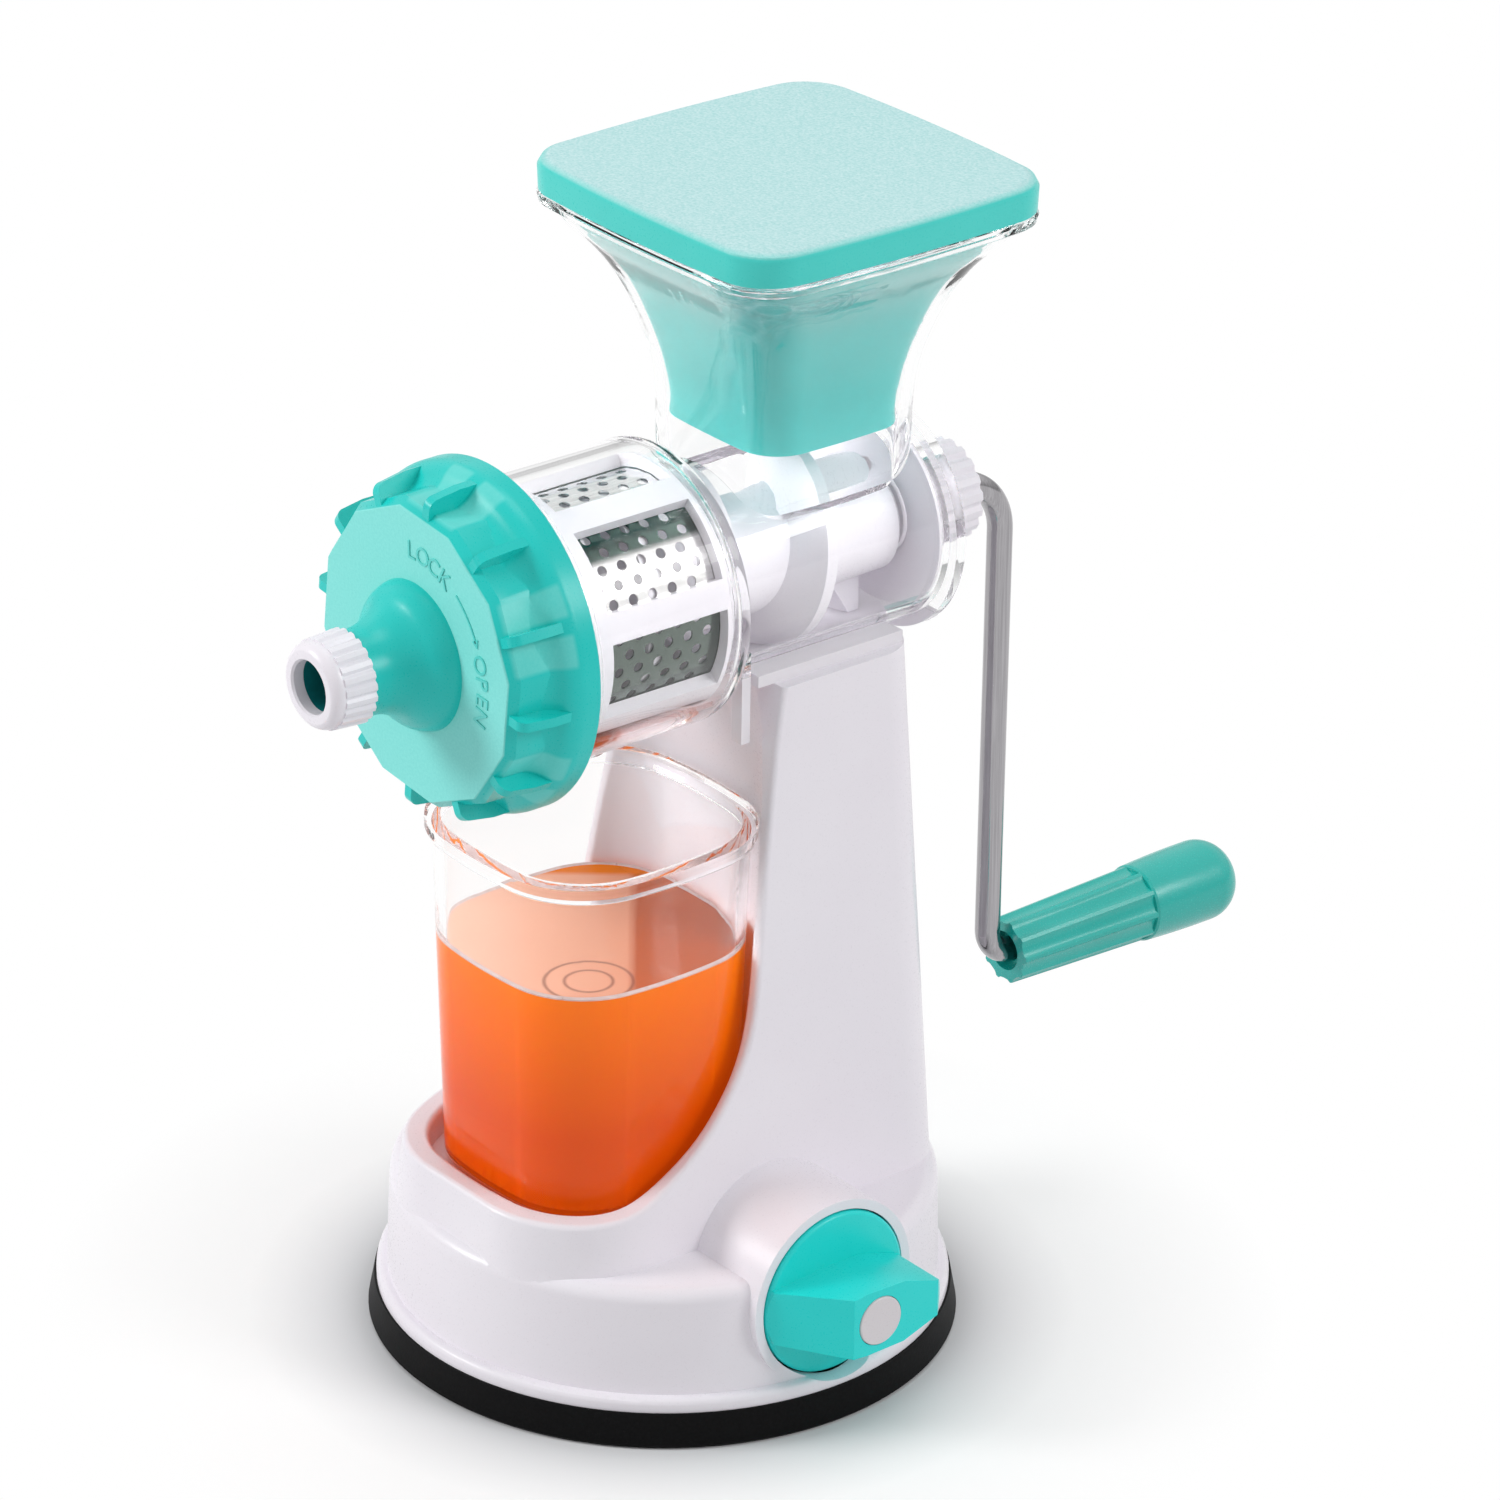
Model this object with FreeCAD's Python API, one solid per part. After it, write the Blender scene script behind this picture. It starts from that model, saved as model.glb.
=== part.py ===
import FreeCAD, Part
import math
import os

# Hand-cranked juicer that presses grass, leaves and soft fruit, in millimetres.
# Z is up and the origin is the centre of the suction face under the base.
# The barrel lies along Y: pulp leaves at -Y, the crank turns at +Y, the vacuum knob is on +X.

# ---- driving dimensions ---------------------------------------------------
V = FreeCAD.Vector
axisZ = 210.4            # height of the barrel's axis

ringR = 78.0             # rubber suction ring
ringH = 9.6
drumFootR = 75.8         # white drum of the base: bead round the foot, then a nearly upright wall
beadH = 3.8
drumWallR = 73.0
drumTopR = 72.2
deckZ = 43.0
towerHalf = 44.5         # tower that carries jar and barrel, at the deck
towerTopHalf = 30.0
towerTopZ = 186.0
towerBackY = 62.5
towerTopBackY = 59.5
bayFloorZ = 50.0         # floor of the recess where the jar stands
collarZ = 57.3           # top of the low collar in front of the jar
lipRound = 1.6           # rounding along both edges of the collar and the columns

jarY = -24.6             # the jar's axis
jarFootHalf = 33.6
jarHalf = 36.6
jarRimHalf = 38.3
jarTopZ = 149.7
jarWall = 2.2
jarPlan = (0.65, 6.3)    # corner radius as a share of the half size, and the sides' turn in degrees
hopperPlan = (0.44, 2.9)
lidPlan = (0.28, 3.8)

knobZ = 34.2             # cam shaft and vacuum knob
knobR = 22.5
knobFaceX = 89.5
camThrow = 2.5
camR = 6.6               # eccentric that lifts the pull stem
journalR = 9.15          # near bearing, wide enough for the eccentric to pass

pressR = 37.6            # wide front part of the barrel
feedR = 28.4             # narrow rear part of the barrel
wall = 2.8
barrelFrontY = -70.0
shoulderY = -1.0
flangeR = 31.2
flangeY = 72.0

cageR = 33.0
cageWall = 3.2
windowCount = 7
windowAngle = 38.0
windowPhase = -10.9
windowFrontY = -44.0
windowBackY = -8.0

screenR = 29.6
screenSheet = 0.5
holeR = 1.4
holeColumns = 28
holeRows = 6

screwFeedR = 25.1        # auger, where it feeds and where it presses
screwPressR = 28.5
shaftR = 6.0

capR = 45.6
capFaceY = -80.0
capBodyR = 40.6
finCount = 12
finPhase = 24.0
finTipR = 44.4
nozzleR = 9.6
outletR = 6.95
bellR = 19.6
bellEndY = -99.6         # the nut starts just in front of the bell
nozzleEndY = -108.6
outletEndY = -112.2

armY = 110.8             # crank arm and grip
rodR = 3.45
gripZ = 67.5
gripStartY = 117.0
gripEndY = 196.6

hopperY = 36.6           # hopper and pusher, half sizes by height
lidHalf = 49.9
lidZ = 304.4
lidTopZ = 313.0


# ---- helpers --------------------------------------------------------------
def spun(outline, axis="Y"):
    """Solid of revolution from corners (along, radius) or arc middles marked by a third value."""
    def at(p):
        return V(p[1], p[0], axisZ) if axis == "Y" else V(p[1], 0, p[0])
    edges = []
    i = 0
    corners = outline + [outline[0]]
    while i < len(corners) - 1:
        if len(corners[i + 1]) == 3:
            edges.append(Part.Arc(at(corners[i]), at(corners[i + 1]), at(corners[i + 2])).toShape())
            i += 2
        else:
            edges.append(Part.makeLine(at(corners[i]), at(corners[i + 1])))
            i += 1
    face = Part.Face(Part.Wire(edges))
    if axis == "Y":
        return face.revolve(V(0, 0, axisZ), V(0, 1, 0), 360)
    return face.revolve(V(0, 0, 0), V(0, 0, 1), 360)


def barY(y0, y1, r, x=0, z=axisZ):
    """Round bar along Y."""
    return Part.makeCylinder(r, y1 - y0, V(x, y0, z), V(0, 1, 0))


def barX(x0, x1, r, y=0, z=knobZ):
    """Round bar along X."""
    return Part.makeCylinder(r, x1 - x0, V(x0, y, z), V(1, 0, 0))


def barZ(z0, z1, r, x=0, y=0):
    """Round bar along Z."""
    return Part.makeCylinder(r, z1 - z0, V(x, y, z0), V(0, 0, 1))


def block(x0, x1, y0, y1, z0, z1):
    return Part.makeBox(x1 - x0, y1 - y0, z1 - z0, V(x0, y0, z0))


def turned(shape, degrees):
    """Copy turned about the barrel's axis, counted from +X towards +Z."""
    copy = shape.copy()
    copy.rotate(V(0, 0, axisZ), V(0, -1, 0), degrees)
    return copy


def roundedSquare(halfX, halfY, plan, y, z):
    """Closed outline of four bulged sides and four corner arcs, all tangent, at height z."""
    corner = plan[0] * min(halfX, halfY)
    turn = math.radians(plan[1])
    t = math.tan(turn / 2)
    cx = (halfX - corner - t * (halfY - corner)) / (1 - t * t)
    cy = (halfY - corner - t * (halfX - corner)) / (1 - t * t)
    edges = []
    for quarter, (u, w, side) in enumerate([(cx, cy, halfY), (cy, cx, halfX), (cx, cy, halfY), (cy, cx, halfX)]):
        arc = []
        for a in (turn, math.pi / 4, math.pi / 2 - turn):
            arc.append(V(u + corner * math.cos(a), w + corner * math.sin(a), z))
        flat = [arc[2], V(0, side, z), V(-arc[2].x, arc[2].y, z)]
        for bow in (arc, flat):
            edge = Part.Arc(*bow).toShape()
            edge.rotate(V(0, 0, 0), V(0, 0, 1), 90 * quarter)
            edge.translate(V(0, y, 0))
            edges.append(edge)
    return Part.Wire(edges)


def flare(sections, plan, y, ruled=False):
    """Loft through rounded squares given as (z, half x, half y)."""
    return Part.makeLoft([roundedSquare(hx, hy, plan, y, z) for z, hx, hy in sections], True, ruled)


def ribbedDisc(tipR, rootR, count, y, phase=0.0):
    """Star-shaped outline round the barrel's axis, for a ribbed nut."""
    points = []
    for i in range(count):
        for part, r in ((0.0, rootR), (0.25, tipR), (0.65, tipR), (0.9, rootR)):
            a = 2 * math.pi * (i + part + phase) / count
            points.append(V(r * math.cos(a), y, axisZ + r * math.sin(a)))
    return Part.makePolygon(points + [points[0]])


# ---- base and vacuum foot -------------------------------------------------
def makeDrum():
    """Round drum with a rounded bead at its foot and a soft shoulder at the deck."""
    shoulder = 4.0
    rounding = 1.9
    beadTop = ringH + beadH
    return spun([(ringH, 0), (ringH, drumFootR), (beadTop - rounding, drumFootR),
                 (beadTop - 0.29 * rounding, drumFootR - 0.29 * rounding, "arc"),
                 (beadTop, drumFootR - rounding), (beadTop, drumWallR), (deckZ - shoulder, drumTopR),
                 (deckZ - 0.29 * shoulder, drumTopR - 0.29 * shoulder, "arc"),
                 (deckZ, drumTopR - shoulder), (deckZ, 0)], "Z")


def towerOutline(z, half, frontY, backY, frontCorner, backCorner):
    """Plan of the tower: large front corners round the jar, smaller rear corners."""
    k = 1 - math.sqrt(0.5)
    f, b = frontCorner, backCorner
    corners = [V(-half + f, frontY, z), V(half - f, frontY, z), V(half, frontY + f, z),
               V(half, backY - b, z), V(half - b, backY, z), V(-half + b, backY, z),
               V(-half, backY - b, z), V(-half, frontY + f, z)]
    middles = [None, V(half - f * k, frontY + f * k, z), None, V(half - b * k, backY - b * k, z),
               None, V(-half + b * k, backY - b * k, z), None, V(-half + f * k, frontY + f * k, z)]
    edges = []
    for i, middle in enumerate(middles):
        start, end = corners[i], corners[(i + 1) % 8]
        edges.append(Part.Arc(start, middle, end).toShape() if middle else Part.makeLine(start, end))
    return Part.Wire(edges)


def makeTower():
    """Tapered tower, cut down in front to a sweeping collar, hollowed to the jar's shape and rounded."""
    tower = Part.makeLoft([towerOutline(deckZ - 3, towerHalf + 0.3, -69.6, towerBackY, 31, 16),
                           towerOutline(towerTopZ, towerTopHalf, -58.0, towerTopBackY, 24, 12)],
                          True, True)
    # side view of the front: a level collar that sweeps up into the column's front edge
    front = [(-95, collarZ), (-80, collarZ), (-65, collarZ), (-50, collarZ + 0.1), (-40, 59.2), (-30, 64.2),
             (-20, 71.2), (-10, 82.6), (-4, 93), (1.5, 118), (6.5, 150), (18, 200)]
    sweep = Part.BSplineCurve()
    sweep.interpolate([V(-70, y, z) for y, z in front], InitialTangent=V(0, 1, 0))
    air = [sweep.toShape(), Part.makeLine(V(-70, 18, 200), V(-70, -95, 200)),
           Part.makeLine(V(-70, -95, 200), V(-70, -95, collarZ))]
    tower = tower.cut(Part.Face(Part.Wire(air)).extrude(V(140, 0, 0)))
    tower = tower.cut(flare([(bayFloorZ, 37.4, 37.4), (210, 39.4, 39.4)], jarPlan, jarY, ruled=True))
    lip = min(tower.Faces, key=lambda face: face.distToShape(Part.Vertex(V(0, -65, collarZ)))[0])
    return tower.makeFillet(lipRound, [e for e in lip.Edges if e.BoundBox.ZMin < towerTopZ - 1])


def makeBaseBody():
    """White moulding: drum, tower, jar bay, knob seat and the hollow for the vacuum foot."""
    body = makeDrum().fuse(makeTower())
    seat = barX(38, 70.5, 25.6).cut(block(30, 80, -40, 40, 0, ringH))
    body = body.fuse(seat)
    # hollow under the deck, open below, deeper in the middle for the yoke
    body = body.cut(spun([(0, 0), (0, 71.4), (ringH + 1, 71.4), (ringH + 3, 70.2), (38, 68), (38, 30), (46.6, 26),
                          (46.6, 0)], "Z"))
    body = body.cut(block(-24, 24, 18, 48, 36, 160))
    for x in (-22, 16):
        body = body.fuse(block(x, x + 5, -12.5, 12.5, 22, 47.5))
    body = body.fuse(barX(36, 62, 12.4))
    body = body.cut(barX(62, 90, 23.0)).cut(barX(-40, 66, 4.06)).cut(barX(12, 66, journalR + 0.06))
    # saddle and socket for the barrel's foot
    body = body.cut(barY(-10, 80, feedR + 0.3))
    body = body.cut(block(-12.2, 12.2, 19.8, 46.2, 166, 200))
    return body.removeSplitter()


def makeSuctionCup():
    """Rubber disc, flat below, with a thick outer ring and a hub for the pull stem."""
    return spun([(0, 0), (0, ringR - 1.0), (1.0, ringR), (ringH, 76.4), (ringH, 70.5), (4.0, 64.0),
                 (3.2, 16.0), (8.0, 13.0), (8.0, 9.2), (3.0, 9.2), (3.0, 0)], "Z")


def makeStemDisc():
    """Steel disc in the rubber hub, which the pull stem lifts."""
    return barZ(3.0, 4.6, 9.0).cut(barZ(2.0, 5.0, 3.1))


def makePullStem():
    """Stem with a slotted yoke that the eccentric lifts."""
    slotHalf = camR + 0.6
    slotReach = 2.8
    stem = barZ(4.9, knobZ - 8.5, 4.0).fuse(barZ(4.9, 7.4, 8.0))
    yoke = block(-5, 5, -slotReach - 9.2, slotReach + 9.2, knobZ - 9.3, knobZ + 9.3)
    slot = block(-6, 6, -slotReach, slotReach, knobZ - slotHalf, knobZ + slotHalf)
    for y in (-slotReach, slotReach):
        slot = slot.fuse(barX(-6, 6, slotHalf, y=y))
    return stem.fuse(yoke).cut(slot).removeSplitter()


def makeCamShaft():
    """Shaft from the knob to the far web, with an eccentric in the yoke and a flat for the knob."""
    shaft = barX(-25.5, 78, 4.0).fuse(barX(-5.6, 5.6, camR, y=camThrow)).fuse(barX(14, 61.8, journalR))
    shaft = shaft.cut(block(62, 79, -5, 5, knobZ + 2.6, knobZ + 5))
    shaft = shaft.cut(barX(68, 79, 1.25))
    groove = barX(-23.6, -22.4, 5).cut(barX(-24, -22, 3.0))
    return shaft.cut(groove).removeSplitter()


def makeShaftClip():
    """E-shaped spring clip in the shaft's groove."""
    clip = barX(-23.5, -22.5, 7.0).cut(barX(-24, -22, 3.05))
    return clip.cut(block(-24, -22, -2.4, 2.4, knobZ - 9, knobZ))


def makeVacuumKnob():
    """Round knob with a broad wing across it and a plug seat in the wing."""
    disc = barX(62.5, 71.5, knobR)
    edge = disc.Edges
    disc = disc.makeFillet(1.2, [e for e in edge if e.BoundBox.XMin > 71])
    # the wing seen from the front, narrowing to its tip, then trimmed to its side view
    lower = [V(69, -22.4, knobZ - 7.4), V(69, -4.0, knobZ - 9.0), V(69, 8.0, knobZ - 8.8), V(69, 20.0, knobZ - 4.8)]
    upper = [V(p.x, p.y, 2 * knobZ - p.z) for p in reversed(lower)]
    edges = [Part.makeLine(lower[i], lower[i + 1]) for i in range(3)]
    edges.append(Part.Arc(lower[3], V(69, 22.0, knobZ), upper[0]).toShape())
    edges += [Part.makeLine(upper[i], upper[i + 1]) for i in range(3)]
    edges.append(Part.makeLine(upper[3], lower[0]))
    wing = Part.Face(Part.Wire(edges)).extrude(V(30, 0, 0)).common(barX(60, 100, knobR - 0.2))
    plan = [(68, -40), (70.8, -22.4), (knobFaceX, -8.6), (knobFaceX, 19.2), (86.5, 22.4), (68, 40)]
    side = Part.Face(Part.makePolygon([V(x, y, 0) for x, y in plan + plan[:1]])).extrude(V(0, 0, 80))
    knob = disc.fuse(wing.common(side))
    knob = knob.cut(barX(60, 78.1, 4.03).cut(block(60, 80, -5, 5, knobZ + 2.63, knobZ + 6)))
    knob = knob.cut(barX(78, 83, 1.7)).cut(barX(82, 87, 3.1))
    return knob.cut(barX(86.4, 95, 6.9)).removeSplitter()


def makeKnobScrew():
    """Pan-head screw that holds the knob on the shaft."""
    return barX(69, 82.5, 1.22).fuse(barX(82.0, 84.2, 2.9))


def makeKnobCap():
    """Round white plug over the screw."""
    plug = barX(86.4, 89.9, 6.75)
    return plug.makeFillet(0.5, [e for e in plug.Edges if e.BoundBox.XMin > 89.5])


# ---- clear barrel with hopper ---------------------------------------------
# half sizes (x, y) of the hopper's outside by height: narrow neck, then a wide flare
hopperSections = [(216.0, 22.0, 27.0), (232.0, 23.4, 27.2), (246.0, 26.8, 27.2), (262.0, 28.4, 28.4),
                  (276.0, 32.6, 32.6), (287.0, 37.8, 37.8), (295.0, 44.0, 44.0), (302.2, 49.2, 49.2)]


def makeTubeWalls():
    """Stepped tube: wide press chamber, rounded shoulder, narrow feed tube, rear flange."""
    outer = spun([(barrelFrontY, 0), (barrelFrontY, pressR - 0.6), (barrelFrontY + 0.6, pressR),
                  (shoulderY - 5, pressR), (shoulderY - 1.46, pressR - 1.46, "arc"),
                  (shoulderY, pressR - 5), (shoulderY, feedR), (flangeY - 3, feedR),
                  (flangeY - 3, flangeR), (flangeY, flangeR), (flangeY, 0)])
    return outer.fuse(spun([(-54.6, 30), (-54.6, 41.0), (-52.6, 41.0), (-51.4, pressR), (-51.4, 30)]))


def makeTubeBore():
    """Inside of the stepped tube."""
    return spun([(barrelFrontY - 1, 0), (barrelFrontY - 1, pressR - wall), (shoulderY - 6, pressR - wall),
                 (shoulderY - 3.6, pressR - wall - 1.0, "arc"), (shoulderY - wall, pressR - wall - 3.4),
                 (shoulderY - wall, feedR - wall), (flangeY - 3.4, feedR - wall), (flangeY - 3.4, 0)])


def bayonetLugs():
    """Four lugs near the barrel's mouth, which hold the cap."""
    lug = spun([(-61.6, 34), (-61.6, 40.4), (-59.2, 40.4), (-59.2, 34)])
    wedge = Part.Face(Part.makePolygon([V(0, -65, axisZ), V(60, -65, axisZ - 12.7),
                                        V(60, -65, axisZ + 12.7), V(0, -65, axisZ)]))
    lug = lug.common(wedge.extrude(V(0, 10, 0)))
    return [turned(lug, a) for a in (0, 90, 180, 270)]


def makeBarrel():
    """One clear moulding: tube, flared hopper, juice spout, foot plate and hooks."""
    barrel = makeTubeWalls().fuse(flare(hopperSections, hopperPlan, hopperY))
    rim = flare([(300.8, 48.6, 48.6), (301.6, 49.7, 49.7), (303.2, 50.0, 50.0), (304.0, 49.6, 49.6)],
                lidPlan, hopperY, ruled=True)
    foot = block(-26, 26, 8.5, 56, towerTopZ, towerTopZ + 3.2).fuse(block(-12, 12, 20, 46, 170, 190))
    spout = barZ(169.8, 178, 6.2, y=-28)
    hooks = [block(x, x + 4, 4.0, 6.8, 171.0, 196.0) for x in (-25, 21)]
    barrel = barrel.fuse([rim, foot, spout] + hooks)
    throat = [(190.0, 19.4, 24.4)] + [(z, hx - 2.3, hy - 2.3) for z, hx, hy in hopperSections]
    inside = flare(throat, hopperPlan, hopperY).common(block(-60, 60, -60, 120, 205, 320))
    mouth = flare([(302.0, 46.9, 46.9), (305.0, 47.6, 47.6)], hopperPlan, hopperY, ruled=True)
    barrel = barrel.cut(makeTubeBore()).cut(inside).cut(mouth)
    barrel = barrel.fuse(bayonetLugs())
    return barrel.cut(barZ(165, 182, 4.2, y=-28)).cut(barY(60, 80, 9.0)).removeSplitter()


def makeRearBush():
    """Flanged bush in the barrel's rear wall."""
    return spun([(67.2, shaftR + 0.05), (67.2, 11.2), (68.6, 11.2), (68.6, 8.95), (flangeY, 8.95),
                 (flangeY, shaftR + 0.05)])


def makeShaftSeal():
    """Rubber ring between the auger's rear face and the bush."""
    return spun([(65.5, shaftR + 0.4), (65.5, 9.6), (67.2, 9.6), (67.2, shaftR + 0.4)])


# ---- strainer -------------------------------------------------------------
def makeStrainerCage():
    """White basket: two rings joined by ribs, with windows between the ribs."""
    inner = cageR - cageWall
    seat = shoulderY - wall
    cage = spun([(barrelFrontY, inner), (barrelFrontY, 34.5), (-66.8, 34.5), (-66.0, cageR),
                 (-6.8, cageR), (seat, 30.2), (seat, 26.2), (-7.0, 26.2), (-7.0, inner)])
    half = windowAngle / 2
    reach = 60 * math.tan(math.radians(half))
    fan = Part.makePolygon([V(0, windowFrontY, axisZ), V(60, windowFrontY, axisZ - reach),
                            V(60, windowFrontY, axisZ + reach), V(0, windowFrontY, axisZ)])
    window = Part.Face(fan).extrude(V(0, windowBackY - windowFrontY, 0))
    for i in range(windowCount):
        cage = cage.cut(turned(window, windowPhase + i * 360 / windowCount))
    return cage


def makeStrainerScreen():
    """Rolled steel sheet with staggered round holes, the part that holds the pulp back."""
    sheet = spun([(-65.6, screenR - screenSheet), (-65.6, screenR), (-7.0, screenR),
                  (-7.0, screenR - screenSheet)])
    holes = []
    step = 360 / holeColumns
    for row in range(holeRows):
        y = windowFrontY + 3.0 + row * 6.2
        pin = Part.makeCylinder(holeR, 15, V(20, y, axisZ), V(1, 0, 0))
        for column in range(holeColumns):
            holes.append(turned(pin, windowPhase + (column + 0.5 * (row % 2)) * step))
    return sheet.cut(Part.makeCompound(holes))


# ---- auger and crank ------------------------------------------------------
def screwFlight(tipR, rootR, back, front, pitch, y0, length):
    """One helical flight: back and front give how far its faces lean at the tip and at the root."""
    path = Part.makeHelix(pitch, length, rootR, 0, True)
    section = Part.makePolygon([V(rootR - 2.0, 0, -front[1]), V(tipR, 0, -front[0]), V(tipR, 0, back[0]),
                                V(rootR - 2.0, 0, back[1]), V(rootR - 2.0, 0, -front[1])])
    flight = Part.Wire(path).makePipeShell([section], True, True)
    flight = Part.Solid(flight) if flight.ShapeType == "Shell" else flight
    flight.rotate(V(0, 0, 0), V(1, 0, 0), -90)
    flight.translate(V(0, y0, axisZ))
    return flight


def makeAuger():
    """White screw: wide flights that feed, closer flights on a growing core that press."""
    core = spun([(-77.5, 0), (-77.5, 8.0), (-66.0, 23.0), (-62.0, 24.0), (-6.0, 17.5), (2.0, 16.0),
                 (60.0, 14.6), (63.0, 14.6), (65.0, 12.6), (65.0, 0)])
    feed = screwFlight(screwFeedR + 1.0, 15.0, (0.0, 1.4), (2.8, 9.4), 32.0, 1.3, 57.0)
    press = screwFlight(screwPressR + 1.0, 19.0, (1.0, 2.0), (3.0, 6.0), 17.0, -60.0, 50.0)
    core = core.cut(barY(28, 66, shaftR + 0.02))
    auger = core.fuse(feed).fuse(press)
    return auger.common(spun([(-80, 0), (-80, screwPressR), (-7.6, screwPressR), (-7.6, screwFeedR),
                              (65.5, screwFeedR), (65.5, 0)]))


def makeAugerShaft():
    """Steel drive shaft: its squared end takes the crank's hub."""
    shaft = barY(28.0, 92.0, shaftR).cut(barY(80, 93, 2.6))
    for a in (0, 90, 180, 270):
        flat = block(4.6, 8, 78, 93, axisZ - 8, axisZ + 8)
        shaft = shaft.cut(turned(flat, a))
    return shaft


def makeHubNut():
    """Ribbed white hub that clamps the crank rod on the shaft."""
    nut = Part.makeLoft([ribbedDisc(14.6, 13.6, 18, 72.8), ribbedDisc(13.6, 12.6, 18, 93.0)], True, True)
    nut = nut.fuse(spun([(92.9, 0), (92.9, 12.4), (93.9, 11.6), (94.6, 9.5), (94.6, 0)]))
    hole = barY(72, 92.6, 6.03).cut(block(4.64, 8, 78, 93, axisZ - 8, axisZ + 8))
    for a in (90, 180, 270):
        hole = hole.cut(turned(block(4.64, 8, 78, 93, axisZ - 8, axisZ + 8), a))
    return nut.cut(hole).cut(barY(92, 96, rodR + 0.1)).removeSplitter()


def sweptRod(points, bends, r):
    """Round rod along straight runs with round bends in the YZ plane."""
    edges = []
    start = V(*points[0])
    for i in range(1, len(points) - 1):
        corner = V(*points[i])
        back = (V(*points[i - 1]) - corner).normalize()
        ahead = (V(*points[i + 1]) - corner).normalize()
        first = corner + back * bends[i - 1]
        last = corner + ahead * bends[i - 1]
        middle = corner + (back + ahead) * (bends[i - 1] * (1 - math.sqrt(0.5)))
        edges += [Part.makeLine(start, first), Part.Arc(first, middle, last).toShape()]
        start = last
    edges.append(Part.makeLine(start, V(*points[-1])))
    ring = Part.Wire(Part.makeCircle(r, V(*points[0]), V(*points[1]) - V(*points[0])))
    return Part.Wire(edges).makePipeShell([ring], True, False)


def makeCrankArm():
    """One bright steel rod: out of the hub, down the arm, and along the grip."""
    rod = sweptRod([(0, 92.0, axisZ), (0, armY, axisZ), (0, armY, gripZ), (0, 186.0, gripZ)],
                   [16.5, 8.5], rodR)
    return rod.cut(barY(183.0, 184.1, 5, z=gripZ).cut(barY(182, 185, rodR - 0.6, z=gripZ)))


def makeGripRetainer():
    """Push-on ring that keeps the grip on the rod."""
    return barY(183.1, 184.0, 5.6, z=gripZ).cut(barY(182, 185, rodR - 0.55, z=gripZ))


def makeCrankGrip():
    """Teal grip: ten shallow flutes, then a thicker smooth end with a rounded nose."""
    fluted = []
    for y, tip in ((gripStartY, 9.2), (165.0, 10.5)):
        points = []
        for i in range(10):
            for part, r in ((0.0, tip), (0.16, tip), (0.32, tip - 0.8), (0.58, tip - 1.0), (0.84, tip - 0.8)):
                a = 2 * math.pi * (i + part) / 10
                points.append(V(r * math.cos(a), y, gripZ + r * math.sin(a)))
        fluted.append(Part.makePolygon(points + points[:1]))
    grip = Part.makeLoft(fluted, True, True)
    nose = spun([(163.6, 0), (163.6, 10.3), (164.2, 10.8), (176.0, 11.3, "arc"), (187.0, 11.4),
                 (193.6, 8.9, "arc"), (gripEndY, 3.0), (gripEndY, 0)])
    nose.translate(V(0, 0, gripZ - axisZ))
    grip = grip.fuse(nose).cut(barY(110, 187.0, rodR + 0.06, z=gripZ))
    grip = grip.cut(barY(181.5, 187.2, 6.4, z=gripZ)).cut(barY(110, 122.0, 5.6, z=gripZ))
    return grip.removeSplitter()


# ---- cap and outlet -------------------------------------------------------
def polygonRing(r, y):
    """Twelve-sided outline with its corners midway between the fins."""
    points = []
    for i in range(finCount + 1):
        a = math.radians(finPhase + 15 + i * 360 / finCount)
        points.append(V(r * math.cos(a), y, axisZ + r * math.sin(a)))
    return Part.makePolygon(points)


def capFin():
    """Grip fin with a rounded front, standing along the axis on the cap's side."""
    outline = [V(34, -79.3, 0), V(40.6, -79.3, 0), V(43.4, -76.6, 0), V(finTipR, -70, 0),
               V(finTipR, -58.5, 0), V(34, -58.5, 0), V(34, -79.3, 0)]
    edges = [Part.makeLine(outline[0], outline[1]),
             Part.Arc(outline[1], V(42.6, -78.4, 0), outline[2]).toShape()]
    edges += [Part.makeLine(outline[i], outline[i + 1]) for i in range(2, 6)]
    fin = Part.Face(Part.Wire(edges)).extrude(V(0, 0, 2.6))
    fin.translate(V(0, 0, axisZ - 1.3))
    return fin


def makeFrontCap():
    """Teal bayonet cap: twelve-sided body, fins and a skirt that flares over the bayonet."""
    body = Part.makeLoft([polygonRing(38.6, capFaceY), polygonRing(capBodyR, -77.4)], True, True)
    body = body.fuse(Part.makeLoft([polygonRing(capBodyR, -77.4), polygonRing(capBodyR + 0.6, -60)],
                                   True, True))
    skirt = spun([(-71.5, 0), (-71.5, 39.4), (-68.4, 41.0, "arc"), (-66.4, 43.2), (-64.2, 44.9, "arc"),
                  (-61.0, capR), (-57.2, capR), (-56.6, capR - 0.6), (-56.6, 0)])
    cap = body.fuse([skirt] + [turned(capFin(), finPhase + i * 360 / finCount) for i in range(finCount)])
    cap = cap.cut(spun([(-50, 0), (-50, 38.15), (-72.7, 38.15), (-72.7, 30.0), (-77.6, 17.2),
                        (-90, 17.2), (-90, 0)]))
    cap = cap.cut(spun([(-62.2, 30), (-62.2, 41.0), (-58.6, 41.0), (-58.6, 30)]))
    slot = Part.Face(Part.makePolygon([V(0, -59, axisZ), V(40.9, -59, axisZ - 10.0),
                                       V(40.9, -59, axisZ + 10.0), V(0, -59, axisZ)]))
    slot = slot.extrude(V(0, 5, 0))
    for a in (30, 120, 210, 300):
        cap = cap.cut(turned(slot, a))
    return cap.removeSplitter()


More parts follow.
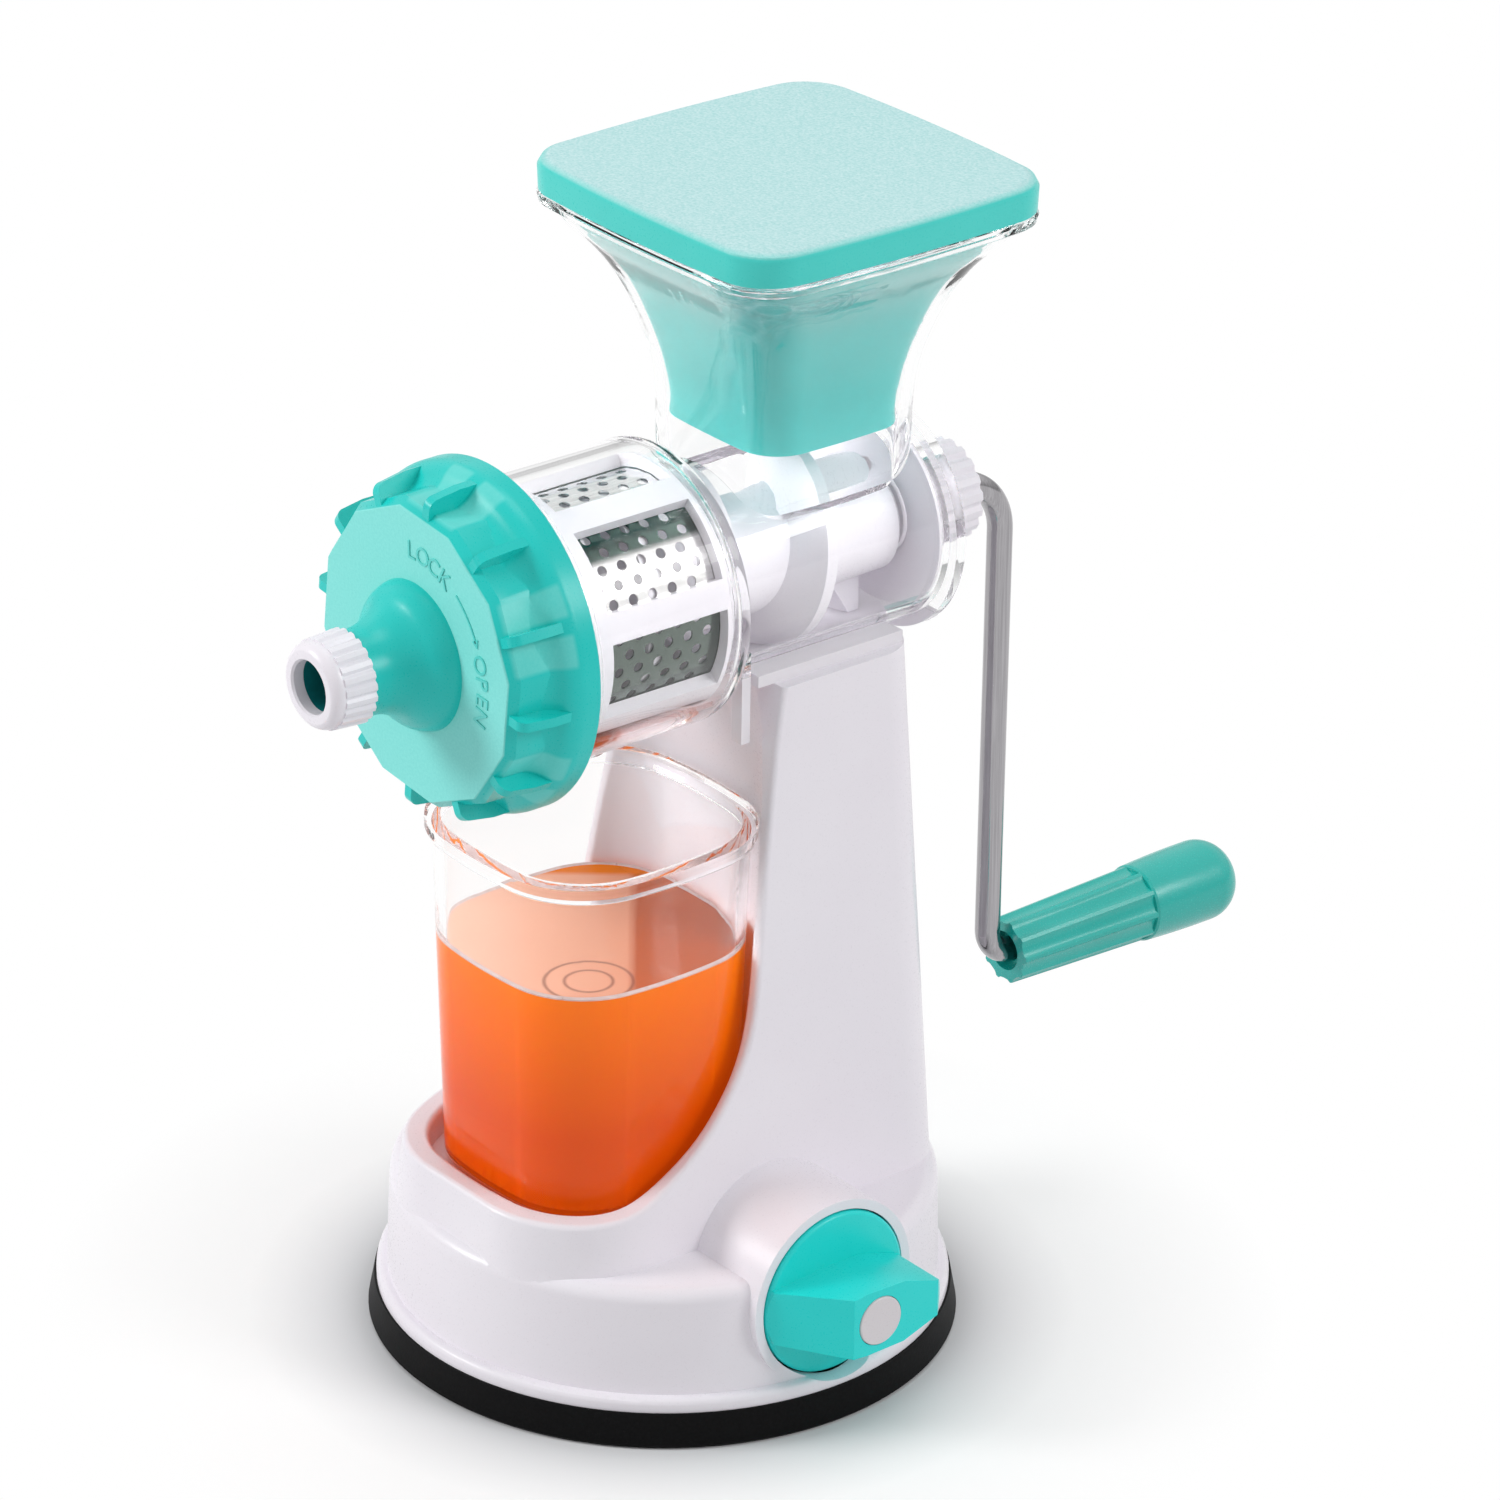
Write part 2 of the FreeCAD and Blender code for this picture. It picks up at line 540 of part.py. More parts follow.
def makePulpBell():
    """Bell set in the cap's face, which narrows to the pulp nozzle."""
    bell = spun([(-77.6, 0), (-77.6, 17.2), (capFaceY, 17.2), (capFaceY, bellR), (-83.4, 18.3, "arc"),
                 (-86.2, 15.8), (-90.8, 12.5, "arc"), (-96.5, 11.2), (bellEndY, 11.0), (bellEndY, nozzleR),
                 (nozzleEndY, nozzleR), (nozzleEndY, 0)])
    return bell.cut(spun([(-77, 0), (-77, 14.9), (-79.5, 14.4), (-86.0, 11.4, "arc"), (-92.0, outletR),
                          (-112, outletR), (-112, 0)]))


def makeCapGasket():
    """Flat sealing ring inside the cap, against the barrel's mouth."""
    return spun([(-72.7, 31.5), (-72.7, 37.9), (-70.4, 37.9), (-70.4, 31.5)])


def makeOutletNut():
    """Ribbed white nut on the nozzle, with a rounded lip round the pulp outlet."""
    rearY = bellEndY - 0.4
    nut = Part.makeLoft([ribbedDisc(12.3, 11.6, 24, rearY), ribbedDisc(11.7, 11.1, 24, -108.8)],
                        True, True)
    lip = spun([(-108.4, 0), (-108.4, 11.2), (-110.9, 10.8, "arc"), (outletEndY, 9.2), (outletEndY, 7.4),
                (outletEndY + 0.6, outletR), (outletEndY + 0.6, 0)])
    nut = nut.fuse(lip).cut(barY(rearY - 8.7, -94, nozzleR + 0.3))
    return nut.cut(barY(-115, -108, outletR)).removeSplitter()


# ---- pusher and jar -------------------------------------------------------
pusherSections = [(246.0, 23.6, 23.6), (262.0, 25.2, 25.2), (276.0, 29.4, 29.4), (287.0, 34.6, 34.6),
                  (295.0, 40.7, 40.7), (301.4, 45.6, 45.6)]


def makePusherCup():
    """Hollow teal plunger that follows the hopper's flare."""
    cup = flare(pusherSections, hopperPlan, hopperY)
    hollow = flare([(z + 2.4 if z < 250 else z, hx - 2.2, hy - 2.2) for z, hx, hy in pusherSections],
                   hopperPlan, hopperY)
    top = flare([(301.3, 43.4, 43.4), (306, 43.4, 43.4)], hopperPlan, hopperY, ruled=True)
    cup = cup.fuse(flare([(301.4, 45.6, 45.6), (lidZ, 46.0, 46.0)], hopperPlan, hopperY, ruled=True))
    return cup.cut(hollow).cut(top).removeSplitter()


def makePusherLid():
    """Square teal lid with a rolled edge that closes the plunger and rests on the hopper's rim."""
    lid = flare([(lidZ, lidHalf - 0.2, lidHalf - 0.2), (lidTopZ - 2.6, lidHalf, lidHalf)], lidPlan, hopperY,
                ruled=True)
    crown = flare([(lidTopZ - 2.6, lidHalf, lidHalf), (lidTopZ - 0.8, lidHalf - 0.8, lidHalf - 0.8),
                   (lidTopZ, lidHalf - 2.4, lidHalf - 2.4)], lidPlan, hopperY, ruled=True)
    plug = flare([(302.0, 43.1, 43.1), (lidZ + 1, 43.1, 43.1)], hopperPlan, hopperY, ruled=True)
    hollow = flare([(300.0, 40.5, 40.5), (lidTopZ - 3.0, 40.5, 40.5)], hopperPlan, hopperY, ruled=True)
    return lid.fuse([crown, plug]).cut(hollow).removeSplitter()


def makeJuiceJar():
    """Clear rounded-square jar with a thick floor and a banded rim."""
    foot = bayFloorZ + 0.3
    outer = flare([(foot, jarFootHalf - 3.0, jarFootHalf - 3.0), (foot + 1.2, jarFootHalf - 0.9, jarFootHalf - 0.9),
                   (foot + 4.0, jarFootHalf + 0.4, jarFootHalf + 0.4)], jarPlan, jarY, ruled=True)
    outer = outer.fuse(flare([(foot + 4.0, jarFootHalf + 0.4, jarFootHalf + 0.4),
                              (145.6, jarHalf, jarHalf)], jarPlan, jarY, ruled=True))
    rim = flare([(145.4, jarRimHalf - 0.6, jarRimHalf - 0.6), (147.0, jarRimHalf, jarRimHalf),
                 (jarTopZ, jarRimHalf, jarRimHalf)], jarPlan, jarY, ruled=True)
    inner = flare([(foot + 4.2, jarFootHalf - 4.6, jarFootHalf - 4.6),
                   (foot + 7.0, jarFootHalf - 1.7, jarFootHalf - 1.7),
                   (160, jarHalf - jarWall + 0.4, jarHalf - jarWall + 0.4)], jarPlan, jarY, ruled=True)
    return outer.fuse(rim).cut(inner).removeSplitter()


# ---- one STEP file per piece ----------------------------------------------
pieces = {
    "base_body": makeBaseBody, "suction_cup": makeSuctionCup, "stem_disc": makeStemDisc,
    "pull_stem": makePullStem, "cam_shaft": makeCamShaft, "shaft_clip": makeShaftClip,
    "vacuum_knob": makeVacuumKnob, "knob_screw": makeKnobScrew, "knob_cap": makeKnobCap,
    "barrel": makeBarrel, "rear_bush": makeRearBush, "shaft_seal": makeShaftSeal,
    "strainer_cage": makeStrainerCage, "strainer_screen": makeStrainerScreen,
    "auger": makeAuger, "auger_shaft": makeAugerShaft, "hub_nut": makeHubNut,
    "crank_arm": makeCrankArm, "grip_retainer": makeGripRetainer, "crank_grip": makeCrankGrip,
    "front_cap": makeFrontCap, "pulp_bell": makePulpBell, "cap_gasket": makeCapGasket, "outlet_nut": makeOutletNut,
    "pusher_cup": makePusherCup, "pusher_lid": makePusherLid, "juice_jar": makeJuiceJar,
}

os.makedirs("parts", exist_ok=True)
for node, make in pieces.items():
    shape = make()
    shape.exportStep("parts/" + node + ".step")
    print(node, shape.isValid(), len(shape.Solids), len(shape.Faces))
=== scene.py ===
import math
import bpy
from mathutils import Matrix, Quaternion, Vector


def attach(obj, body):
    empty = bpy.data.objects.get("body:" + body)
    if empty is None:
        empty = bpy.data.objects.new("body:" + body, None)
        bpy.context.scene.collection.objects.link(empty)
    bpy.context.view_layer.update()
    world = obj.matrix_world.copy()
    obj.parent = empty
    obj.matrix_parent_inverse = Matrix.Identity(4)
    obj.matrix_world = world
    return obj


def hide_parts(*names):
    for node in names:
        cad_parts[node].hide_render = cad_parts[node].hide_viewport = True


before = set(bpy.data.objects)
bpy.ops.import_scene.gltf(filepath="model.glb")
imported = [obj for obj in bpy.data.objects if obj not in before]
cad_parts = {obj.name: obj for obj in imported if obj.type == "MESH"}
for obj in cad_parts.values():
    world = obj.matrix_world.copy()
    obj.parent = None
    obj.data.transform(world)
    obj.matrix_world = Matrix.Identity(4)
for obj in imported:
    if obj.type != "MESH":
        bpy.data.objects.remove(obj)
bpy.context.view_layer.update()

# Hand-cranked juicer: white base with a vacuum foot, clear barrel, teal fittings, a jar of juice.
# Metres throughout, in the frame of the CAD. mm turns a size in millimetres into metres.
mm = 0.001
barrelZ = 0.2104  # height of the barrel's axis
whiteLight = (1, 1, 1, 1)


# Colour and node helpers
def linear(hexColour):
    values = [int(hexColour[i:i + 2], 16) / 255 for i in (1, 3, 5)]
    return [v / 12.92 if v <= 0.04045 else ((v + 0.055) / 1.055) ** 2.4 for v in values] + [1.0]


def addNode(material, kind, inputs=None, **settings):
    node = material.node_tree.nodes.new("ShaderNode" + kind)
    for name, value in settings.items():
        setattr(node, name, value)
    for socket, value in (inputs or {}).items():
        if isinstance(value, bpy.types.NodeSocket):
            material.node_tree.links.new(value, node.inputs[socket])
        else:
            node.inputs[socket].default_value = value
    return node


def newMaterial(name):
    material = bpy.data.materials.new(name)
    material.use_nodes = True
    return material, material.node_tree.nodes["Principled BSDF"]


def plug(material, output, shader, socket):
    material.node_tree.links.new(output, shader.inputs[socket])


def setSockets(shader, values):
    for socket, value in values.items():
        shader.inputs[socket].default_value = value


def showShader(material, output, shader):
    plug(material, shader.outputs[0], material.node_tree.nodes[output], "Surface")


def calculate(material, operation, *values):
    return addNode(material, "Math", dict(enumerate(values)), operation=operation).outputs[0]


def softStep(material, value, low, high, atLow=0.0, atHigh=1.0):
    # atLow up to low, atHigh from high on; low may be the larger of the two
    return addNode(material, "MapRange", {"Value": value, "From Min": low, "From Max": high,
                                          "To Min": atLow, "To Max": atHigh}).outputs[0]


def blend(material, share, first, second):
    # each colour is a hex value or the output of another node
    first, second = [linear(end) if isinstance(end, str) else end for end in (first, second)]
    mix = addNode(material, "Mix", {0: share, 6: first, 7: second}, data_type="RGBA")
    return mix.outputs[2]


def objectPlace(material):
    return addNode(material, "TexCoord").outputs["Object"]


def objectAxes(material):
    return addNode(material, "SeparateXYZ", {0: objectPlace(material)}).outputs


def measure(material, operation, value, other=(0, 0, 0)):
    # a length, distance or dot product of vectors
    node = addNode(material, "VectorMath", {0: value, 1: other}, operation=operation)
    return node.outputs["Value"]


def pattern(material, sizeMm, detail=2.0, rough=0.5, stretch=(1, 1, 1)):
    # noise whose lumps are about sizeMm across, fixed to the piece
    scaled = addNode(material, "Mapping", {"Vector": objectPlace(material), "Scale": stretch})
    noise = addNode(material, "TexNoise", {"Vector": scaled.outputs[0], "Scale": 1 / (sizeMm * mm),
                                           "Detail": detail, "Roughness": rough})
    return noise.outputs["Fac"]


def toneBetween(material, noise, dark, light, low=0.35, high=0.65):
    return blend(material, softStep(material, noise, low, high), dark, light)


def bumpFrom(material, height, strength, distance, **under):
    inputs = {"Height": height, "Strength": strength, "Distance": distance, **under}
    return addNode(material, "Bump", inputs).outputs[0]


# Materials
def mouldedPlastic(name, look, zone=None):
    # injection-moulded plastic: even colour, soft gloss, a very fine spark-eroded grain
    # zone gives 1 where the mould was etched coarser, which looks paler, duller and speckled, and
    # where a paler tone is painted in as light (the lid's top, the cap's face) and a darker one is
    # painted in as shade (the nozzle's bore)
    material, shader = newMaterial(name)
    low, high = look["noiseRange"]
    clouds = pattern(material, look["cloudMm"], detail=3.0)
    grain = pattern(material, look["grainMm"], rough=0.6)
    colour = toneBetween(material, clouds, look["dark"], look["light"])
    gloss = softStep(material, grain, low, high,
                     look["rough"] - look["smoother"], look["rough"] + look["rougher"])
    bump = bumpFrom(material, grain, look["bump"], look["grainDepth"])
    if zone:
        zoned = zone(material)
        speckle = pattern(material, look["speckleMm"], detail=3.0, rough=0.7)
        # the zone's tone: paler where light is painted in, darker where shade is painted in
        pale = toneBetween(material, speckle, look["zoneDark"], look["zoneLight"], low, high)
        colour = blend(material, zoned, colour, pale)
        gloss = addNode(material, "Mix", {0: zoned, 2: gloss, 3: look["etchRough"]}).outputs[0]
        strength = calculate(material, "MULTIPLY", zoned, look["etchBump"])
        bump = bumpFrom(material, speckle, strength, look["speckleDepth"], Normal=bump)
    plug(material, colour, shader, "Base Color")
    plug(material, gloss, shader, "Roughness")
    plug(material, bump, shader, "Normal")
    setSockets(shader, {"IOR": look["ior"], "Specular IOR Level": look["shine"]})
    return material


# the lid's top band is etched, and its paler tone is partly the etching and partly painted light
# falling on the top from above
lidEtch = {"from": 311.6 * mm, "to": 312.9 * mm}


def lidTop(material):
    return softStep(material, objectAxes(material)["Z"], lidEtch["from"], lidEtch["to"])


# the cap's etched parts: angles in degrees counted from +X to +Z, lengths along the barrel's axis
capPads = {"phase": 24.0, "pitch": 60.0, "halfWidth": 12.6, "widthFade": 1.6, "finHalf": 2.2,
           "finFade": 1.4, "front": -77.6 * mm, "back": -63.6 * mm, "endFade": 1.0 * mm,
           "face": -79.85 * mm, "faceFade": 0.3 * mm, "share": 0.45}


def capFlats(material):
    # the cap's face is etched, and so is every second of its twelve flats, on both sides of the
    # fin; the face's pale tone is partly the etching and partly a painted sheen from the light in
    # front
    x, y, z = objectAxes(material)
    turn = calculate(material, "ARCTAN2", calculate(material, "SUBTRACT", z, barrelZ), x)
    fromFin = calculate(material, "SUBTRACT", turn, math.radians(capPads["phase"]))
    away = calculate(material, "PINGPONG", fromFin, math.radians(capPads["pitch"] / 2))
    width, fin = capPads["halfWidth"], capPads["finHalf"]
    widthEnds = [math.radians(width + capPads["widthFade"]), math.radians(width)]
    finEnds = [math.radians(fin), math.radians(fin + capPads["finFade"])]
    masks = [softStep(material, away, *widthEnds), softStep(material, away, *finEnds),
             softStep(material, y, capPads["front"] - capPads["endFade"], capPads["front"]),
             softStep(material, y, capPads["back"] + capPads["endFade"], capPads["back"])]
    flats = capPads["share"]
    for mask in masks:
        flats = calculate(material, "MULTIPLY", flats, mask)
    face = softStep(material, y, capPads["face"] + capPads["faceFade"], capPads["face"])
    return calculate(material, "MAXIMUM", flats, face)


# the barrel's foot plate lies under top, and from the tower's front face on it is painted milky
# white, standing in for the light on the white tower under it
footZone = {"top": 189.2 * mm, "topFade": 0.6 * mm, "front": 3.2 * mm, "whole": 3.8 * mm}


def footPlate(material):
    place = objectAxes(material)
    inPlate = softStep(material, place["Z"], footZone["top"] + footZone["topFade"],
                       footZone["top"])
    onTower = softStep(material, place["Y"], footZone["front"], footZone["whole"])
    return calculate(material, "MULTIPLY", inPlate, onTower)


# radii round the barrel's axis between which the bell is painted dark: painted shade inside the
# nozzle's bore
bore = {"edge": 7.6 * mm, "inside": 7.3 * mm}


def nozzleBore(material):
    fromAxis = addNode(material, "VectorMath", {0: objectPlace(material), 1: (0, 0, -barrelZ)},
                       operation="ADD")
    across = addNode(material, "VectorMath", {0: fromAxis.outputs[0], 1: (1, 0, 1)},
                     operation="MULTIPLY")
    radius = measure(material, "LENGTH", across.outputs[0])
    return softStep(material, radius, bore["edge"], bore["inside"])


def clearPlastic(name, look, zone=None):
    # clear moulded plastic: bright edges, faint flow lines in the walls, and lamps reach what is
    # inside; zone gives 1 where the wall lies on white plastic and is painted milky, standing in
    # for the light on the white plastic under it
    material, shader = newMaterial(name)
    flow = pattern(material, look["flowMm"], stretch=look["stretch"])
    plug(material, bumpFrom(material, flow, look["bump"], look["flowDepth"]), shader, "Normal")
    setSockets(shader, {"Base Color": linear(look["tint"]), "Transmission Weight": 1.0,
                        "IOR": look["ior"], "Roughness": look["rough"],
                        "Specular IOR Level": look["shine"]})
    if zone:
        milky = zone(material)
        body = blend(material, milky, look["tint"], look["milk"])
        plug(material, body, shader, "Base Color")
        clearness = softStep(material, milky, 0.0, 1.0, 1.0, look["milkClear"])
        plug(material, clearness, shader, "Transmission Weight")
    path = addNode(material, "LightPath")
    through = addNode(material, "BsdfTransparent", {"Color": linear(look["shade"])})
    mixed = addNode(material, "MixShader", {0: path.outputs["Is Shadow Ray"],
                                            1: shader.outputs[0], 2: through.outputs[0]})
    showShader(material, "Material Output", mixed)
    return material


def polishedSteel(name, look):
    # drawn and polished rod: bright, with hair-fine marks along its length
    material, shader = newMaterial(name)
    marks = pattern(material, look["markMm"], detail=3.0, rough=0.6, stretch=look["stretch"])
    plug(material, toneBetween(material, marks, look["dark"], look["light"]), shader, "Base Color")
    gloss = softStep(material, marks, 0.0, 1.0,
                     look["rough"] - look["smoother"], look["rough"] + look["rougher"])
    plug(material, gloss, shader, "Roughness")
    setSockets(shader, {"Metallic": 1.0})
    return material


def shadedSheet(name, look):
    # punched sheet: bright high up, and painted darker and greener low down as painted shade and
    # dark reflection in the lower windows, with a painted dark reflection in a band under the
    # hopper
    material = polishedSteel(name, look)
    shader = material.node_tree.nodes["Principled BSDF"]
    dry = shader.inputs["Base Color"].links[0].from_socket
    up = calculate(material, "SUBTRACT", objectAxes(material)["Z"], barrelZ)
    # painted shade and dark reflection low down on the sheet
    wet = softStep(material, up, look["litAbove"], look["shadeBelow"])
    bandFrom = softStep(material, up, look["reflectedDarkFrom"], look["reflectedDarkFrom"] + look["lowFade"])
    bandTo = softStep(material, up, look["reflectedDarkTo"], look["reflectedDarkTo"] - look["highFade"])
    reflectedDark = calculate(material, "MULTIPLY", bandFrom, bandTo)
    tone = blend(material, reflectedDark, blend(material, wet, dry, look["wet"]), look["reflectedDark"])
    plug(material, tone, shader, "Base Color")
    return material


def rubber(name, look):
    # cured rubber: matte, slightly dusty, with a moulding grain
    material, shader = newMaterial(name)
    dust = pattern(material, look["dustMm"], detail=4.0, rough=0.65)
    plug(material, toneBetween(material, dust, look["dark"], look["light"]), shader, "Base Color")
    plug(material, bumpFrom(material, dust, look["bump"], look["dustDepth"]), shader, "Normal")
    setSockets(shader, {"Roughness": look["rough"], "Specular IOR Level": look["shine"]})
    return material


plastic = {"grainMm": 0.5, "grainDepth": 0.1 * mm, "rough": 0.30, "smoother": 0.04, "rougher": 0.05,
           "bump": 0.08, "noiseRange": (0.3, 0.7), "speckleDepth": 0.15 * mm, "ior": 1.53}
white = {**plastic, "dark": "#F0EBF2", "light": "#F3EFF5", "cloudMm": 60, "shine": 0.4}
whiteAbs = mouldedPlastic("white ABS, moulded", white)
plugAbs = mouldedPlastic("white ABS, press-in plug", {
    **white, "dark": "#D9D4D7", "light": "#DDD8DB"})
teal = {**plastic, "dark": "#14CAC3", "light": "#1CCFC8", "cloudMm": 40, "shine": 0.35,
        "speckleMm": 0.8}
markAbs = mouldedPlastic("teal ABS, raised words", {**teal, "dark": "#60D6CF", "light": "#66DAD3"})
# the knob's teal is a lighter copy of the same plastic: painted light for the stronger light it
# gets
knobAbs = mouldedPlastic("teal ABS, painted lighter on the knob", {
    **teal, "dark": "#1ADCD7", "light": "#22E0DB"})
gripAbs = mouldedPlastic("deep teal ABS, moulded", {
    **teal, "dark": "#12AFA4", "light": "#19B4AA", "rough": 0.24, "shine": 0.6})
cupAbs = mouldedPlastic("pale teal ABS, moulded", {**teal, "dark": "#4EC2BE", "light": "#58C8C3"})
# lid: paler on top, partly the etched finish and partly painted light
tealLid = mouldedPlastic("teal ABS, etched and painted lighter on top", {
    **teal, "dark": "#46D4CB", "light": "#4CD8CF", "zoneDark": "#A4D8D8", "zoneLight": "#D0ECED",
    "etchRough": 0.7, "etchBump": 0.6}, lidTop)
# the bell's teal, with painted shade darkening the inside of the nozzle's bore
bellAbs = mouldedPlastic("teal ABS, painted shade in the bore", {
    **teal, "zoneDark": "#0A6B6D", "zoneLight": "#0C7476", "etchRough": 0.4, "etchBump": 0.1},
    nozzleBore)
# cap: etched face and flats; the face's pale tone is partly a painted sheen
tealCap = mouldedPlastic("teal ABS, etched flats", {
    **teal, "zoneDark": "#80E3DC", "zoneLight": "#8EEBE4", "etchRough": 0.5, "etchBump": 0.3},
    capFlats)
clear = {"tint": "#FFFFFF", "shade": "#F6F8F8", "flowMm": 30, "stretch": (1, 1, 0.2),
         "flowDepth": 0.3 * mm, "bump": 0.02, "ior": 1.33, "rough": 0.0, "shine": 0.3,
         "milk": "#F6F3F7", "milkClear": 0.15}
clearSan = clearPlastic("clear SAN, moulded", clear)
barrelSan = clearPlastic("clear SAN, foot plate painted light", clear, footPlate)
metal = {"smoother": 0.04, "rougher": 0.06}
rodSteel = polishedSteel("stainless rod, polished", {
    **metal, "dark": "#9C9A9D", "light": "#ADABAE", "markMm": 0.5, "stretch": (1, 1, 0.02),
    "rough": 0.13})
# the sheet's low tone and its band's tone are painted shade and painted reflection
screenSteel = shadedSheet("stainless sheet, punched", {
    **metal, "dark": "#DCDADA", "light": "#EFEEED", "markMm": 0.8, "stretch": (1, 0.08, 1),
    "rough": 0.16, "wet": "#69736D", "shadeBelow": 3 * mm, "litAbove": 6 * mm, "reflectedDark": "#45544F",
    "reflectedDarkFrom": 20.4 * mm, "lowFade": 1.2 * mm, "reflectedDarkTo": 28.5 * mm, "highFade": 3 * mm})
smallSteel = polishedSteel("steel fittings, turned", {
    **metal, "dark": "#7C7B77", "light": "#9A9893", "markMm": 0.8, "stretch": (1, 0.08, 1),
    "rough": 0.2})
cured = {"dustDepth": 0.2 * mm, "rough": 0.5}
blackRubber = rubber("black rubber, moulded", {
    **cured, "dark": "#030304", "light": "#0B0B0C", "dustMm": 0.8, "bump": 0.25, "shine": 0.1})
greyRubber = rubber("pale silicone, moulded", {
    **cured, "dark": "#C4C2BE", "light": "#D2D0CC", "dustMm": 1.2, "bump": 0.15, "shine": 0.5})
print("materials made")


# Selection and modelling helpers
def deselectAll():
    for thing in bpy.context.selected_objects:
        thing.select_set(False)


def choose(*pieces):
    # selects these pieces alone and makes the first one active
    deselectAll()
    for piece in pieces:
        piece.select_set(True)
    bpy.context.view_layer.objects.active = pieces[0]


def selectFaces(piece, wanted):
    bpy.ops.object.mode_set(mode="EDIT")
    bpy.ops.mesh.select_all(action="DESELECT")
    bpy.ops.object.mode_set(mode="OBJECT")
    for face in piece.data.polygons:
        face.select = wanted(face)
    bpy.ops.object.mode_set(mode="EDIT")


def editAll():
    bpy.ops.object.mode_set(mode="EDIT")
    bpy.ops.mesh.select_all(action="SELECT")


def turnOutward():
    bpy.ops.mesh.select_all(action="SELECT")
    bpy.ops.mesh.normals_make_consistent(inside=False)
    bpy.ops.object.mode_set(mode="OBJECT")


def applyModifier(piece, name, kind, **settings):
    modifier = piece.modifiers.new(name, kind)
    for key, value in settings.items():
        setattr(modifier, key, value)
    bpy.ops.object.modifier_apply(modifier=modifier.name)


def smoothBelow(degrees):
    bpy.ops.object.shade_smooth_by_angle(angle=math.radians(degrees))


# CAD nodes: each keeps its mesh, gets smooth shading that breaks at its edges, and a material
finishes = {
    "base_body": whiteAbs, "suction_cup": blackRubber, "stem_disc": smallSteel,
    "pull_stem": whiteAbs, "cam_shaft": smallSteel, "shaft_clip": smallSteel,
    "vacuum_knob": knobAbs, "knob_screw": smallSteel, "knob_cap": plugAbs, "barrel": barrelSan,
    "rear_bush": whiteAbs, "shaft_seal": greyRubber, "strainer_cage": whiteAbs,
    "strainer_screen": screenSteel, "auger": whiteAbs, "auger_shaft": rodSteel,
    "hub_nut": whiteAbs, "crank_arm": rodSteel, "grip_retainer": smallSteel,
    "crank_grip": gripAbs, "front_cap": tealCap, "pulp_bell": bellAbs, "cap_gasket": greyRubber,
    "outlet_nut": whiteAbs, "pusher_cup": cupAbs, "pusher_lid": tealLid, "juice_jar": clearSan,
}
# creases are angles in degrees above which the shading breaks
shading = {"weld": 0.002 * mm, "clearCrease": 20, "crease": 32, "air": 0.03 * mm, "evenWeight": 90}


def finishNode(node, material):
    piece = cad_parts[node]
    piece.data.materials.clear()
    piece.data.materials.append(material)
    choose(piece)
    bpy.ops.object.shade_smooth()
    isClear = material in (clearSan, barrelSan)
    weld = piece.modifiers.new("weld", "WELD")
    weld.merge_threshold = shading["weld"]
    split = piece.modifiers.new("crease", "EDGE_SPLIT")
    split.split_angle = math.radians(shading["clearCrease" if isClear else "crease"])
    if isClear:
        # a hair of air under the clear pieces, so that light gets out where they touch
        gap = piece.modifiers.new("air gap", "DISPLACE")
        gap.mid_level = 0
        gap.strength = -shading["air"]
    else:
        even = piece.modifiers.new("even shading", "WEIGHTED_NORMAL")
        even.weight = shading["evenWeight"]


for node, material in finishes.items():
    finishNode(node, material)
print("CAD nodes finished")


# Camera: long lens, from the front right and above
camera = {"place": (1.303508, -1.033987, 0.954869), "azimuth": 50.85, "elevation": 25.49,
          "roll": 0.85, "lens": 172.75, "sensor": 36, "farthest": 20}


def makeCamera():
    azimuth, elevation = math.radians(camera["azimuth"]), math.radians(camera["elevation"])
    level = math.cos(elevation)
    ahead = Vector((-math.sin(azimuth) * level, math.cos(azimuth) * level, -math.sin(elevation)))
    data = bpy.data.cameras.new("camera")
    data.lens = camera["lens"]
    data.sensor_width = camera["sensor"]
    data.clip_end = camera["farthest"]
    thing = bpy.data.objects.new("camera", data)
    bpy.context.scene.collection.objects.link(thing)
    thing.rotation_mode = "QUATERNION"
    roll = Quaternion((0, 0, 1), math.radians(camera["roll"]))
    thing.rotation_quaternion = ahead.to_track_quat("-Z", "Y") @ roll
    thing.location = camera["place"]
    bpy.context.scene.camera = thing


makeCamera()


# Pale floor and world: white to the eye, to metal and to clear plastic, plain light for the rest.
# Near the object the paper keeps its shadow, with a painted shadow added in its colour close to the
# object, and farther off it turns into plain white between shadeFrom and shadeTo.
studio = {"floor": "#D6D6D8", "floorSize": 8, "floorRough": 0.9, "floorShine": 0.1,
          "fibreMm": 0.4, "fibreBump": 0.1, "fibreDepth": 0.05 * mm,
          "paintedShadow": "#DEDEE0", "paintedShadowTo": 0.11, "shadeFrom": 0.08, "shadeTo": 0.165,
          "ambient": 0.54, "skyWhite": 1.0, "skyDim": 0.4, "dimUpTo": -0.05, "whiteFrom": 0.35}
lamps = [
    {"name": "key", "place": (-1.2, -1.7, 1.2), "target": (0, 0, 0.15), "size": 0.8, "power": 24},
    {"name": "side", "place": (1.5, 0.9, 1.3), "target": (0, 0, 0.25), "size": 0.8, "power": 13},
    {"name": "top", "place": (-0.3, 0.3, 1.9), "target": (0, 0, 0.2), "size": 0.9, "power": 4},
]
# light that runs round inside the clear walls needs many bounces to get out again
bounces = {"max_bounces": 32, "diffuse_bounces": 8, "glossy_bounces": 24,
           "transmission_bounces": 32}


def seenDirectly(material):
    path = addNode(material, "LightPath").outputs
    either = calculate(material, "MAXIMUM", path["Is Camera Ray"], path["Is Glossy Ray"])
    return calculate(material, "MAXIMUM", either, path["Is Transmission Ray"])


